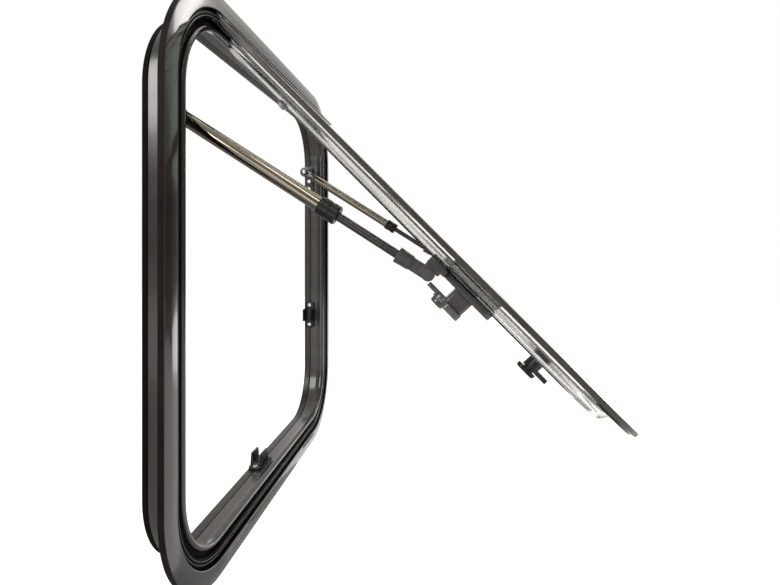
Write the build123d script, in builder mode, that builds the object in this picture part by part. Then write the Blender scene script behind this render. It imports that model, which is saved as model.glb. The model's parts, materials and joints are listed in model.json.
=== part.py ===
"""Top-hung opening window for a caravan wall, shown open on its two telescopic stays.

Millimetres. X runs across the window, -Y is outside, Z is up. The origin lies on the flange's back
face, in the middle of the bottom rail, where the window meets the wall.
"""
import math
import os

from build123d import *

os.makedirs("parts", exist_ok=True)

# frame outline, measured to the outer edge of the flange
WIDTH = 545.0
HEIGHT = 545.0
CORNER_R = 102.0
FLANGE_BACK_W = 25.0        # flat back of the flange, from its outer edge to the lining
FLANGE_RIM = 6.0            # flange thickness at its outer edge
LIP_INSET = 17.0            # inner edge of the flange's front face
LIP_Y = -8.0
LIP_EDGE = 0.8              # broken edges of the flange's face
FACE_CROWN = 0.35           # rise of the flange's face over a straight line
GROOVE_FLOOR_Y = -2.0
GROOVE_STEP_INSET = 26.0    # where the groove deepens beside the bead
GROOVE_DEEP_Y = 0.8
BEAD_INSET = 31.0           # bead between the gasket groove and the clear opening
OPENING_INSET = 37.0
BEAD_Y = -5.0
COVE_Y = 7.0                # where the lining turns into the cove behind the bead
LINING_INSET = 31.0         # flat inner face of the lining
LINING_Y = 19.0
REBATE_INSET = 28.0         # step in the lining that the trim sits on
REBATE_DEPTH = 4.5
TRIM_GAP = 0.5
TRIM_Y = 29.7
GASKET_GAP = 1.4            # between the lip and the gasket
GASKET_Y = -3.2
RIB_Y = -4.6                # crest of the gasket's ribs
RIB_W = 0.8
RIB_INSET = 20.4            # middle of the first rib
RIB_PITCH = 2.9
DRAIN_X = 105.0             # drain slots in the bottom flange, from the middle
DRAIN_INSET = 14.0
DRAIN_LEN = 11.0
DRAIN_W = 2.6
FOOT_T = 2.6                # screwed feet of the brackets and keepers

# sash
OPEN_DEG = 44.5
HINGE_INSET = 28.0
HINGE_Y = -9.5
PANE_INSET = 20.0
PANE_TOP = -6.0             # top edge of the panes, from the hinge axis down the sash
OUTER_Z = 3.5               # outer face of the outer pane, outwards from the hinge axis
OUTER_T = 4.0
INNER_T = 2.0
AIR_GAP = 9.0
TRAY_TAPER = 20.0           # draft of the raised field's edges, in degrees
TRAY_TOP = -24.0            # top of the raised field, from the hinge axis down the sash
TRAY_EDGE_R = 2.5
RIM_INSET = 27.0            # edge of the inner pane's bonded rim
TRAY_INSET = 43.0           # foot of the inner pane's raised field
HINGE_LEN = 384.0
HINGE_RAIL_LEN = 338.0
HINGE_BEAD_R = 2.2
HOOK_R = 4.4                # outside of the hook that turns on the bead
HOOK_BORE_R = 2.7
HOOK_MOUTH = 12.0           # length of the wedge that opens the hook upwards
CHANNEL_OUT = 24.0          # outer leg of the channel on the panes, from the hinge axis
CHANNEL_IN = 14.0
CHANNEL_TOP = 3.6
CHANNEL_OUT_T = 1.8         # thickness of the legs
CHANNEL_IN_T = 1.2
CHANNEL_FIT = 0.1           # room round the panes

# stays
STAY_INSET = 48.0
STAY_PIVOT_Y = 24.0
STAY_PIVOT_DROP = 113.0     # below the flange's top edge
STAY_END_S = 297.0          # along the sash from the hinge axis
STAY_END_Z = -23.4
TUBE_R = 6.2
ROD_R = 3.5
TUBE_BORE_R = 4.7
TUBE_START = 22.0           # lengths along a stay, from its pivot on the jamb
TUBE_END = 177.5
COLLAR_R = 8.0
COLLAR_GRIP = 13.0          # length of the collar that covers the tube
COLLAR_END = 182.5
COLLAR_GROOVE = 4.1         # groove round the collar, back from the tube's end
COLLAR_GROOVE_W = 1.4
COLLAR_GROOVE_D = 0.5
FITTING_START = 238.5
FITTING_R = 6.5
FITTING_BLOCK = 12.5
ROD_LEN = 136.0
ROD_SEAT = 6.0              # length of the rod inside the fitting
EYE_R = 8.0
EYE_T = 6.0
BRACKET_W = 15.0
BRACKET_LEN = 44.0
BRACKET_DROP = 11.0         # middle of a bracket's foot, below the pivot
BRACKET_BACK = 3.4
EYE_NECK_W = 11.0
STANDOFF = 10.6             # from a bracket's foot to the stay's eye
STANDOFF_R = 6.5
BRACKET_PIN_R = 3.0
PIN_HEAD_R = 4.8
PIN_HEAD_T = 2.0
TANG_T = 6.0                # flat end of the fitting, between the two cheeks of the latch's base
CHEEK_T = 3.5
CHEEK_GAP = 0.5
PIN_R = 3.2

# latches
SIDE_LATCH_INSET = 64.0
SIDE_LATCH_S = 328.5        # along the sash from the hinge axis
SIDE_REACH = 25.0           # from the latch's axis to the tip of its tongue
SIDE_BASE_T = 5.0
SIDE_BASE_LEN = 50.0
SIDE_BASE_W = 26.0
SPACER_W = 16.0
TAB_LEN = 17.0
HUB_W = 18.0
HUB_LEN = 17.5
LEVER_REACH = 26.0
LEVER_W = 6.0
LEVER_T = 3.5
SEAT_LEN = 21.0             # seat of the button, on the lever
SEAT_W = 13.0
BOTTOM_LATCH_INSET = 61.0
BOTTOM_REACH = 23.0
BOTTOM_BASE_T = 2.5
BOTTOM_HUB_R = 9.0
BOTTOM_SPACER_LEN = 24.0
BOTTOM_SPACER_W = 14.0
STUB_R = 3.2
STUB_GAP = 0.4
TONGUE_DEPTH = 19.0         # middle of the tongue, from the raised field of the inner pane
TONGUE_W = 15.0
TONGUE_T = 5.0
PRONG_H = 14.0              # keeper's prongs, above its foot
PRONG_T = 4.0
KEEPER_GAP = 8.4
KEEPER_LEN = 44.0
KEEPER_W = 17.0
PRONG_W = 21.0
BUTTON_R = 5.8
KNOB_LEN = 24.0
KNOB_W = 14.0

# values worked out from the ones above
ZB = -FLANGE_BACK_W / 2
ZT = ZB + HEIGHT
ZC = (ZB + ZT) / 2
HINGE_Z = ZT - HINGE_INSET
PANE_IN = OUTER_Z - OUTER_T - INNER_T               # inner face of the bonded rim
TRAY_IN = PANE_IN - AIR_GAP                         # inner face of the raised field
BASE_IN = TRAY_IN - SIDE_BASE_T                     # inner face of a side latch's foot
TONGUE_Z = TRAY_IN - TONGUE_DEPTH                   # middle of a latch's tongue
HUB_IN = TONGUE_Z - TONGUE_T / 2                    # inner face of a latch's hub and tongue
STUB_IN = TONGUE_Z                                  # end of the stub that a latch turns on
SASH_LEN = HEIGHT - HINGE_INSET - PANE_INSET
BOTTOM_LATCH_S = HEIGHT - HINGE_INSET - BOTTOM_LATCH_INSET
open_rad = math.radians(OPEN_DEG)
sash = Plane(
    origin=(0, HINGE_Y, HINGE_Z),
    x_dir=(1, 0, 0),
    z_dir=(0, -math.cos(open_rad), math.sin(open_rad)),
)
front = Plane(origin=(0, 0, ZC), x_dir=(1, 0, 0), z_dir=(0, -1, 0))
PIVOT_Z = ZT - STAY_PIVOT_DROP
stay_end = sash.from_local_coords(Vector(0, -STAY_END_S, STAY_END_Z))
stay_dir = Vector(0, stay_end.Y - STAY_PIVOT_Y, stay_end.Z - PIVOT_Z)
STAY_LEN = stay_dir.length
stay_dir = stay_dir.normalized()
SIDES = (("left", -1), ("right", 1))


def at(inset, side):
    """X of a place that lies this far in from the flange's outer edge."""
    return side * (WIDTH / 2 - inset)


def save(part, name):
    part.label = name
    export_step(part, f"parts/{name}.step")


def loop(inset):
    """The frame's outline, that far in, from the middle of the bottom rail round to it again."""
    w, h, r = WIDTH / 2 - inset, HEIGHT / 2 - inset, CORNER_R - inset
    k = r * (1 - math.sqrt(0.5))
    Line((0, -h), (w - r, -h))
    ThreePointArc((w - r, -h), (w - k, k - h), (w, r - h))
    Line((w, r - h), (w, h - r))
    ThreePointArc((w, h - r), (w - k, h - k), (w - r, h))
    Line((w - r, h), (r - w, h))
    ThreePointArc((r - w, h), (k - w, h - k), (-w, h - r))
    Line((-w, h - r), (-w, r - h))
    ThreePointArc((-w, r - h), (k - w, k - h), (r - w, -h))
    Line((r - w, -h), (0, -h))


# the section's x is the distance in from the flange's edge, and its y is the model's Y
rail = Plane(origin=(0, 0, ZB), x_dir=(0, 0, 1), z_dir=(-1, 0, 0))

bead_side_y = BEAD_Y + (OPENING_INSET - BEAD_INSET) / 2

with BuildPart() as outer_frame:
    with BuildLine(front):
        loop(0)
    with BuildSketch(rail):
        with BuildLine():
            # back of the flange, lining and its rebate
            back = Polyline((0, 0), (FLANGE_BACK_W, 0), (FLANGE_BACK_W, LINING_Y + REBATE_DEPTH),
                            (REBATE_INSET, LINING_Y + REBATE_DEPTH), (REBATE_INSET, LINING_Y),
                            (LINING_INSET, LINING_Y), (LINING_INSET, COVE_Y))
            # cove up to the clear opening, then the half-round bead
            turn = ((LINING_INSET + OPENING_INSET) / 2, (COVE_Y + bead_side_y) / 2)
            cove = TangentArc(back @ 1, turn, tangent=(0, -1))
            shoulder = TangentArc(turn, (OPENING_INSET, bead_side_y), tangent=cove % 1)
            bead = ThreePointArc(shoulder @ 1, ((OPENING_INSET + BEAD_INSET) / 2, BEAD_Y),
                                 (BEAD_INSET, bead_side_y))
            # gasket groove, deeper beside the bead
            groove = Polyline(bead @ 1, (BEAD_INSET, GROOVE_DEEP_Y), (GROOVE_STEP_INSET + 1, GROOVE_DEEP_Y),
                              (GROOVE_STEP_INSET, GROOVE_FLOOR_Y), (LIP_INSET + 0.3, GROOVE_FLOOR_Y),
                              (LIP_INSET, LIP_Y + LIP_EDGE), (LIP_INSET - LIP_EDGE, LIP_Y))
            # crowned face of the flange, from its lip to its rim
            face = ThreePointArc(groove @ 1, (LIP_INSET / 2, (LIP_Y - FLANGE_RIM) / 2 - FACE_CROWN),
                                 (LIP_EDGE, -FLANGE_RIM))
            Polyline(face @ 1, (0, LIP_EDGE - FLANGE_RIM), back @ 0)
        make_face()
    sweep()
    # two drain slots through the bottom of the flange
    with BuildSketch(Plane(origin=(0, 0, ZB + DRAIN_INSET), x_dir=(1, 0, 0), z_dir=(0, -1, 0))):
        with Locations((-DRAIN_X, 0), (DRAIN_X, 0)):
            SlotOverall(DRAIN_LEN, DRAIN_W)
    extrude(amount=12, both=True, mode=Mode.SUBTRACT)
save(outer_frame.part, "outer_frame")

with BuildPart() as inner_trim:
    with BuildLine(front):
        loop(FLANGE_BACK_W)
    with BuildSketch(rail):
        with BuildLine():
            Polyline((FLANGE_BACK_W, LINING_Y + REBATE_DEPTH + TRIM_GAP),
                     (REBATE_INSET + TRIM_GAP, LINING_Y + REBATE_DEPTH + TRIM_GAP),
                     (REBATE_INSET + TRIM_GAP, LINING_Y + 0.7), (LINING_INSET, LINING_Y + 0.7),
                     (LINING_INSET, TRIM_Y - 1.5), (LINING_INSET - 1.5, TRIM_Y),
                     (FLANGE_BACK_W + 1.5, TRIM_Y), (FLANGE_BACK_W, TRIM_Y - 1.5), close=True)
        make_face()
    sweep()
save(inner_trim.part, "inner_trim")

gasket_in, gasket_out = LIP_INSET + GASKET_GAP, GROOVE_STEP_INSET - 0.3
gasket_outline = [(gasket_in, GROOVE_FLOOR_Y), (gasket_in, GASKET_Y)]
for rib in (RIB_INSET, RIB_INSET + RIB_PITCH):
    gasket_outline += [(rib - RIB_W, GASKET_Y), (rib - RIB_W / 2, RIB_Y),
                       (rib + RIB_W / 2, RIB_Y), (rib + RIB_W, GASKET_Y)]
gasket_outline += [(gasket_out - 0.3, GASKET_Y), (gasket_out, GROOVE_FLOOR_Y)]
with BuildPart() as frame_gasket:
    with BuildLine(front):
        loop(RIB_INSET)
    with BuildSketch(rail):
        with BuildLine():
            Polyline(*gasket_outline, close=True)
        make_face()
    sweep()
save(frame_gasket.part, "frame_gasket")

with BuildPart() as hinge_rail:
    with BuildSketch(Plane(origin=(-HINGE_RAIL_LEN / 2, 0, 0), x_dir=(0, 1, 0), z_dir=(1, 0, 0))):
        with Locations((HINGE_Y, HINGE_Z)):
            Circle(HINGE_BEAD_R)
        lip_z = ZT - LIP_INSET - 0.3
        with BuildLine():
            Polyline((-7, lip_z), (-3.4, lip_z), (-3.4, lip_z - 1.2), (-6, lip_z - 1.2),
                     (HINGE_Y + 1, HINGE_Z), (HINGE_Y - 1, HINGE_Z), (-7.4, lip_z - 2), close=True)
        make_face()
    extrude(amount=HINGE_RAIL_LEN)
save(hinge_rail.part, "hinge_rail")

# stay brackets on the jambs, with a stand-off and a headed pin
for side, sx in SIDES:
    foot = Plane(origin=(at(LINING_INSET, sx), 0, 0), x_dir=(0, 1, 0), z_dir=(1, 0, 0))
    inward = -sx
    with BuildPart() as stay_bracket:
        with BuildSketch(foot):
            with Locations((STAY_PIVOT_Y - BRACKET_BACK, PIVOT_Z - BRACKET_DROP)):
                RectangleRounded(BRACKET_W, BRACKET_LEN, 4)
        extrude(amount=FOOT_T * inward)
        with BuildSketch(foot.offset(FOOT_T * inward)):
            with Locations((STAY_PIVOT_Y, PIVOT_Z)):
                Circle(STANDOFF_R)
        extrude(amount=STANDOFF * inward, taper=4)
        with BuildSketch(foot.offset((FOOT_T + STANDOFF) * inward)):
            with Locations((STAY_PIVOT_Y, PIVOT_Z)):
                Circle(BRACKET_PIN_R)
        extrude(amount=(EYE_T + PIN_HEAD_T + 0.4) * inward)
        with BuildSketch(foot.offset((FOOT_T + STANDOFF + EYE_T + 2) * inward)):
            with Locations((STAY_PIVOT_Y, PIVOT_Z)):
                Circle(PIN_HEAD_R)
        extrude(amount=PIN_HEAD_T * inward)
    save(stay_bracket.part, f"{side}_stay_bracket")


def keeper(base):
    """A latch keeper on the lining: a slotted foot with two prongs, the gap between them for the tongue."""
    gap_y = HINGE_Y - TONGUE_Z
    with BuildPart() as body:
        with BuildSketch(base):
            with Locations((0, gap_y - 1)):
                RectangleRounded(KEEPER_LEN, KEEPER_W, 5)
        extrude(amount=FOOT_T)
        with BuildSketch(base.offset(FOOT_T)):
            with Locations((0, gap_y)):
                Rectangle(PRONG_W + 1, KEEPER_W - 2)
        extrude(amount=2.2, taper=12)
        for edge in (-1, 1):
            with BuildSketch(base.offset(FOOT_T)):
                with Locations((0, gap_y + edge * (KEEPER_GAP + PRONG_T) / 2)):
                    Rectangle(PRONG_W, PRONG_T)
            extrude(amount=PRONG_H, taper=3)
    return body


bottom_seat = Plane(origin=(0, 0, ZB + LINING_INSET), x_dir=(1, 0, 0), z_dir=(0, 0, 1))
save(keeper(bottom_seat).part, "bottom_keeper")
for side, sx in SIDES:
    jamb_seat = Plane(
        origin=(at(LINING_INSET, sx), 0, HINGE_Z - SIDE_LATCH_S), x_dir=(0, 0, sx), z_dir=(-sx, 0, 0)
    )
    save(keeper(jamb_seat).part, f"{side}_keeper")

# sash: its plane's y runs up to the hinge axis and its z runs outwards
pane_h = SASH_LEN + PANE_TOP
pane_mid = PANE_TOP - pane_h / 2
pane_w = WIDTH - 2 * PANE_INSET
pane_r = CORNER_R - PANE_INSET

with BuildPart() as outer_pane:
    with BuildSketch(sash.offset(OUTER_Z - OUTER_T)):
        with Locations((0, pane_mid)):
            RectangleRounded(pane_w, pane_h, pane_r)
    extrude(amount=OUTER_T)
save(outer_pane.part, "outer_pane")

tray_w = WIDTH - 2 * TRAY_INSET
tray_bot = HEIGHT - HINGE_INSET - TRAY_INSET
tray_h = tray_bot + TRAY_TOP
tray_mid = (TRAY_TOP - tray_bot) / 2
tray_r = CORNER_R - TRAY_INSET
with BuildPart() as inner_pane:
    with BuildSketch(sash.offset(PANE_IN)):
        with Locations((0, pane_mid)):
            RectangleRounded(WIDTH - 2 * RIM_INSET, pane_h - 10, CORNER_R - RIM_INSET)
    extrude(amount=INNER_T)
    with BuildSketch(sash.offset(PANE_IN)):
        with Locations((0, tray_mid)):
            RectangleRounded(tray_w, tray_h, tray_r)
    extrude(amount=-AIR_GAP, taper=TRAY_TAPER)
    with BuildSketch(sash.offset(PANE_IN + INNER_T)):
        with Locations((0, tray_mid)):
            RectangleRounded(tray_w - 4, tray_h - 4, tray_r - 2)
    extrude(amount=-AIR_GAP, taper=TRAY_TAPER, mode=Mode.SUBTRACT)
    crest = inner_pane.faces().sort_by(Axis(sash.origin, sash.z_dir))[0]
    fillet(crest.edges(), TRAY_EDGE_R)
save(inner_pane.part, "inner_pane")

channel_out, channel_in = OUTER_Z + CHANNEL_FIT, PANE_IN - CHANNEL_FIT
with BuildPart() as hinge_profile:
    end = Plane(
        origin=sash.from_local_coords(Vector(-HINGE_LEN / 2, 0, 0)),
        x_dir=sash.y_dir, z_dir=(1, 0, 0),
    )
    with BuildSketch(end):
        # the channel that grips the panes' top edge; x is up the sash and y is outwards
        with BuildLine():
            face_out = channel_out + CHANNEL_OUT_T
            Polyline((-CHANNEL_OUT, face_out), (-CHANNEL_TOP, face_out),
                     (-CHANNEL_TOP, channel_in - CHANNEL_IN_T), (-CHANNEL_IN, channel_in - CHANNEL_IN_T),
                     (-CHANNEL_IN, channel_in), (PANE_TOP + 4 * CHANNEL_FIT, channel_in),
                     (PANE_TOP + 4 * CHANNEL_FIT, channel_out), (-CHANNEL_OUT, channel_out), close=True)
        make_face()
        Circle(HOOK_R)
        Circle(HOOK_BORE_R, mode=Mode.SUBTRACT)
        with BuildLine():
            mouth, spread = HOOK_MOUTH / 2, HOOK_MOUTH * 0.717
            Polyline((0, 0), (mouth, -spread), (HOOK_MOUTH, 0), (mouth, spread), close=True)
        make_face(mode=Mode.SUBTRACT)
    extrude(amount=HINGE_LEN)
save(hinge_profile.part, "hinge_profile")


def disc(x, s, z, radius):
    """A round face parallel to the sash, x across, s down from the hinge axis and z outwards."""
    with BuildSketch(sash.offset(z)) as face:
        with Locations((x, -s)):
            Circle(radius)
    return face.sketch


# side latches: their bases also hold the stays, and their tongues point at the jambs
for side, sx in SIDES:
    x, s = at(SIDE_LATCH_INSET, sx), SIDE_LATCH_S
    stay_x = at(STAY_INSET, sx)

    # the spacer between the panes that the latch is screwed to
    with BuildPart() as spacer:
        with BuildSketch(sash.offset(PANE_IN + INNER_T)):
            with Locations((x, -s)):
                SlotOverall(SIDE_BASE_LEN, SPACER_W, rotation=90)
        extrude(amount=-AIR_GAP)
    save(spacer.part, f"{side}_latch_spacer")

    with BuildPart() as base:
        with BuildSketch(sash.offset(TRAY_IN)):
            with Locations((x, -s)):
                RectangleRounded(SIDE_BASE_W, SIDE_BASE_LEN, 6)
            # tab under the stay's end
            tab_in = x + sx * SIDE_BASE_W / 4
            tab_out = stay_x + sx * (TANG_T / 2 + CHEEK_GAP + CHEEK_T)
            with Locations(((tab_in + tab_out) / 2, -STAY_END_S - 0.5)):
                Rectangle(abs(tab_out - tab_in), TAB_LEN)
        extrude(amount=-SIDE_BASE_T)
        # two cheeks that cradle the stay's cross pin, open towards the inside and the bottom
        for edge in (-1, 1):
            cheek = Plane(
                origin=sash.from_local_coords(Vector(stay_x + edge * (TANG_T / 2 + CHEEK_GAP), 0, 0)),
                x_dir=sash.y_dir, z_dir=(1, 0, 0),
            )
            with BuildSketch(cheek):
                with BuildLine():
                    q, z, r = -STAY_END_S, STAY_END_Z, PIN_R + 0.6
                    Polyline((q - 6, BASE_IN), (q - 6, z + r + 1), (q - 5, z + r), (q + r, z + r),
                             (q + r, z - 3.6), (q + r + 0.8, z - 4.4), (q + r + 2, z - 4.4),
                             (q + r + 3.4, z - 3), (q + 7.6, BASE_IN), close=True)
                make_face()
            extrude(amount=edge * CHEEK_T)
        extrude(disc(x, s, BASE_IN, STUB_R), amount=STUB_IN - BASE_IN)
    save(base.part, f"{side}_latch_base")

    with BuildPart() as hub:
        with BuildSketch(sash.offset(BASE_IN - STUB_GAP)):
            with Locations((x, -s)):
                RectangleRounded(HUB_W, HUB_LEN, 3)
        extrude(amount=HUB_IN - BASE_IN + STUB_GAP)
        with BuildSketch(sash.offset(TONGUE_Z + TONGUE_T / 2)):
            with Locations((x + sx * (SIDE_REACH - 5) / 2, -s)):
                RectangleRounded(SIDE_REACH + 5, TONGUE_W, 3)
        extrude(amount=-TONGUE_T)
        # lever up the sash, with a seat for the button
        with BuildSketch(sash.offset(TONGUE_Z + TONGUE_T / 2 + 0.5)):
            with Locations((x, -s + (LEVER_REACH - 5) / 2)):
                RectangleRounded(LEVER_W, LEVER_REACH + 5, 2.5)
        extrude(amount=-LEVER_T)
        with BuildSketch(sash.offset(TONGUE_Z + TONGUE_T / 2)):
            with Locations((x, -s + 7)):
                SlotOverall(SEAT_LEN, SEAT_W, rotation=90)
        extrude(amount=-TONGUE_T)
        extrude(disc(x, s, BASE_IN, STUB_R + STUB_GAP), amount=STUB_IN - STUB_GAP - BASE_IN,
                mode=Mode.SUBTRACT)
    save(hub.part, f"{side}_latch_hub")

    with BuildPart() as grip:
        extrude(disc(x, s - 10.5, HUB_IN, BUTTON_R), amount=-4)
        chamfer(grip.faces().sort_by(Axis(sash.origin, sash.z_dir))[0].edges(), 0.8)
    save(grip.part, f"{side}_latch_grip")

# bottom latch: a round hub with an oval knob, its tongue pointing at the bottom rail
bottom_base_in = TRAY_IN - BOTTOM_BASE_T
with BuildPart() as bottom_latch_spacer:
    with BuildSketch(sash.offset(PANE_IN + INNER_T)):
        with Locations((0, -BOTTOM_LATCH_S)):
            SlotOverall(BOTTOM_SPACER_LEN, BOTTOM_SPACER_W, rotation=90)
    extrude(amount=-AIR_GAP)
save(bottom_latch_spacer.part, "bottom_latch_spacer")

with BuildPart() as bottom_latch_base:
    extrude(disc(0, BOTTOM_LATCH_S, TRAY_IN, BOTTOM_HUB_R - 1), amount=-BOTTOM_BASE_T)
    extrude(disc(0, BOTTOM_LATCH_S, bottom_base_in, STUB_R), amount=STUB_IN - bottom_base_in)
save(bottom_latch_base.part, "bottom_latch_base")

with BuildPart() as bottom_latch_hub:
    extrude(disc(0, BOTTOM_LATCH_S, bottom_base_in - STUB_GAP, BOTTOM_HUB_R),
            amount=HUB_IN - bottom_base_in + STUB_GAP)
    with BuildSketch(sash.offset(TONGUE_Z + TONGUE_T / 2)):
        with Locations((0, -BOTTOM_LATCH_S - (BOTTOM_REACH - 5) / 2)):
            RectangleRounded(TONGUE_W, BOTTOM_REACH + 5, 3)
    extrude(amount=-TONGUE_T)
    extrude(disc(0, BOTTOM_LATCH_S, bottom_base_in, STUB_R + STUB_GAP),
            amount=STUB_IN - STUB_GAP - bottom_base_in, mode=Mode.SUBTRACT)
save(bottom_latch_hub.part, "bottom_latch_hub")

with BuildPart() as bottom_latch_grip:
    extrude(disc(0, BOTTOM_LATCH_S, HUB_IN, 6), amount=-1.5)
    with BuildSketch(sash.offset(HUB_IN - 1.5)):
        with Locations((0, -BOTTOM_LATCH_S + 1)):
            SlotOverall(KNOB_LEN, KNOB_W, rotation=90)
    extrude(amount=-5)
    chamfer(bottom_latch_grip.faces().sort_by(Axis(sash.origin, sash.z_dir))[0].edges(), 1.4)
save(bottom_latch_grip.part, "bottom_latch_grip")

# telescopic stays, each in its own plane across the window
for side, sx in SIDES:
    x = at(STAY_INSET, sx)
    axis = Plane(origin=(x, STAY_PIVOT_Y, PIVOT_Z), x_dir=(1, 0, 0), z_dir=stay_dir)
    across = Plane(origin=(x, 0, 0), x_dir=(0, 1, 0), z_dir=(1, 0, 0))

    with BuildPart() as stay_eye:
        with BuildSketch(across):
            with Locations((STAY_PIVOT_Y, PIVOT_Z)):
                Circle(EYE_R)
        extrude(amount=EYE_T / 2, both=True)
        with BuildSketch(axis):
            Rectangle(EYE_T, EYE_NECK_W)
        extrude(amount=14)
        with BuildSketch(axis.offset(TUBE_START - 9)):
            Circle(TUBE_R + 0.6)
        extrude(amount=9)
        with BuildSketch(axis.offset(TUBE_START)):
            Circle(TUBE_BORE_R - 0.1)
        extrude(amount=10)
        with BuildSketch(across):
            with Locations((STAY_PIVOT_Y, PIVOT_Z)):
                Circle(BRACKET_PIN_R + 0.4)
        extrude(amount=12, both=True, mode=Mode.SUBTRACT)
    save(stay_eye.part, f"{side}_stay_eye")

    with BuildPart() as stay_tube:
        with BuildSketch(axis.offset(TUBE_START)):
            Circle(TUBE_R)
            Circle(TUBE_BORE_R, mode=Mode.SUBTRACT)
        extrude(amount=TUBE_END - TUBE_START)
    save(stay_tube.part, f"{side}_stay_tube")

    with BuildPart() as stay_collar:
        with BuildSketch(axis.offset(TUBE_END - COLLAR_GRIP)):
            Circle(COLLAR_R)
        extrude(amount=COLLAR_END - TUBE_END + COLLAR_GRIP)
        with BuildSketch(axis.offset(TUBE_END - COLLAR_GRIP)):
            Circle(TUBE_R)
        extrude(amount=COLLAR_GRIP, mode=Mode.SUBTRACT)
        with BuildSketch(axis.offset(TUBE_END)):
            Circle(ROD_R + 0.6)
        extrude(amount=10, mode=Mode.SUBTRACT)
        chamfer(stay_collar.edges().filter_by(GeomType.CIRCLE).sort_by(SortBy.RADIUS)[-2:], 1)
        with BuildSketch(axis.offset(TUBE_END - COLLAR_GROOVE)):
            Circle(COLLAR_R + 1)
            Circle(COLLAR_R - COLLAR_GROOVE_D, mode=Mode.SUBTRACT)
        extrude(amount=COLLAR_GROOVE_W, mode=Mode.SUBTRACT)
    save(stay_collar.part, f"{side}_stay_collar")

    with BuildPart() as stay_rod:
        with BuildSketch(axis.offset(FITTING_START + ROD_SEAT - ROD_LEN)):
            Circle(ROD_R)
        extrude(amount=ROD_LEN)
    save(stay_rod.part, f"{side}_stay_rod")

    with BuildPart() as stay_fitting:
        with BuildSketch(axis.offset(FITTING_START)):
            Circle(FITTING_R)
        extrude(amount=FITTING_BLOCK, taper=3)
        with BuildSketch(axis.offset(FITTING_START + 10)):
            Rectangle(TANG_T, 10)
        extrude(amount=STAY_LEN - FITTING_START - 10)
        with BuildSketch(across):
            with Locations((stay_end.Y, stay_end.Z)):
                Circle(5)
        extrude(amount=TANG_T / 2, both=True)
        # cross pin with a head on its outer end
        pin_half = TANG_T / 2 + CHEEK_GAP + CHEEK_T + 0.5
        with BuildSketch(across):
            with Locations((stay_end.Y, stay_end.Z)):
                Circle(PIN_R)
        extrude(amount=pin_half, both=True)
        with BuildSketch(across.offset(sx * pin_half)):
            with Locations((stay_end.Y, stay_end.Z)):
                Circle(PIN_HEAD_R)
        extrude(amount=sx * PIN_HEAD_T)
        with BuildSketch(axis.offset(FITTING_START)):
            Circle(ROD_R)
        extrude(amount=ROD_SEAT, mode=Mode.SUBTRACT)
    save(stay_fitting.part, f"{side}_stay_fitting")
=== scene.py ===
"""Looks for the top-hung caravan window, in the CAD model's frame.

Sizes of the window are in millimetres. Lamps, cards and camera are in metres.
"""
import json
import math

import bmesh
import bpy
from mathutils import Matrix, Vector
from mathutils.geometry import tessellate_polygon


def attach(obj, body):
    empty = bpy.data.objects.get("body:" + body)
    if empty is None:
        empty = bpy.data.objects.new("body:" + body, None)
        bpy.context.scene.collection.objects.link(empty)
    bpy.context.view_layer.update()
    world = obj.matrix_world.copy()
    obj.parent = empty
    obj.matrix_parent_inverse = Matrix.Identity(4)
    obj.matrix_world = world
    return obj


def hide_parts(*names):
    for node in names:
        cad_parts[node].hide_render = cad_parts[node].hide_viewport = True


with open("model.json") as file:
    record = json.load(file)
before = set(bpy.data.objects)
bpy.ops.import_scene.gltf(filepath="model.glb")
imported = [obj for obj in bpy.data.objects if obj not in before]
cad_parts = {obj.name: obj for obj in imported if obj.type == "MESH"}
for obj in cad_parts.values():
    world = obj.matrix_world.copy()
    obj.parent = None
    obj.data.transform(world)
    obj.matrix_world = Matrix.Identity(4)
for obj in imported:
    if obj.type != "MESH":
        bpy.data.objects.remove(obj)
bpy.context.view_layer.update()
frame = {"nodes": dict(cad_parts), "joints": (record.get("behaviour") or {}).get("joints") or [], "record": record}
nodes = frame["nodes"]
record = frame["record"]
joint_of = {joint["name"]: joint for joint in frame["joints"]}
MM = 0.001
SIDES = (("left", -1), ("right", 1))
X_AXIS = Vector((1, 0, 0))


def joint_place(name):
    """Where a joint is, in millimetres."""
    return [round(value / MM, 3) for value in joint_of[name]["pos_m"]]


# sizes of the frame, as in the part's source; an inset runs inwards from the flange's outer edge
WIDTH, HEIGHT, CORNER_R = 545.0, 545.0, 102.0
FLANGE_BACK_W = 25.0        # flat back of the flange, up to the lining
FLANGE_RIM = 6.0            # flange thickness at its outer edge
LIP_INSET, LIP_Y = 17.0, -8.0
GROOVE_FLOOR_Y, GROOVE_DEEP_Y = -2.0, 0.8
GROOVE_STEP_INSET = 26.0    # where the gasket's groove deepens beside the bead
BEAD_INSET, BEAD_Y = 31.0, -5.0
OPENING_INSET = 37.0
LINING_INSET, LINING_Y = 31.0, 19.0
REBATE_INSET, REBATE_DEPTH = 28.0, 4.5
TRIM_GAP, TRIM_Y = 0.5, 29.7
DRAIN_X, DRAIN_INSET, DRAIN_LEN, DRAIN_W = 105.0, 14.0, 11.0, 2.6
FOOT_T = 2.6                # screwed feet of the brackets and keepers
PIN_END = 23.2              # end of a bracket's pin, from the lining
ZB = -FLANGE_BACK_W / 2
ZC = ZB + HEIGHT / 2

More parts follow.
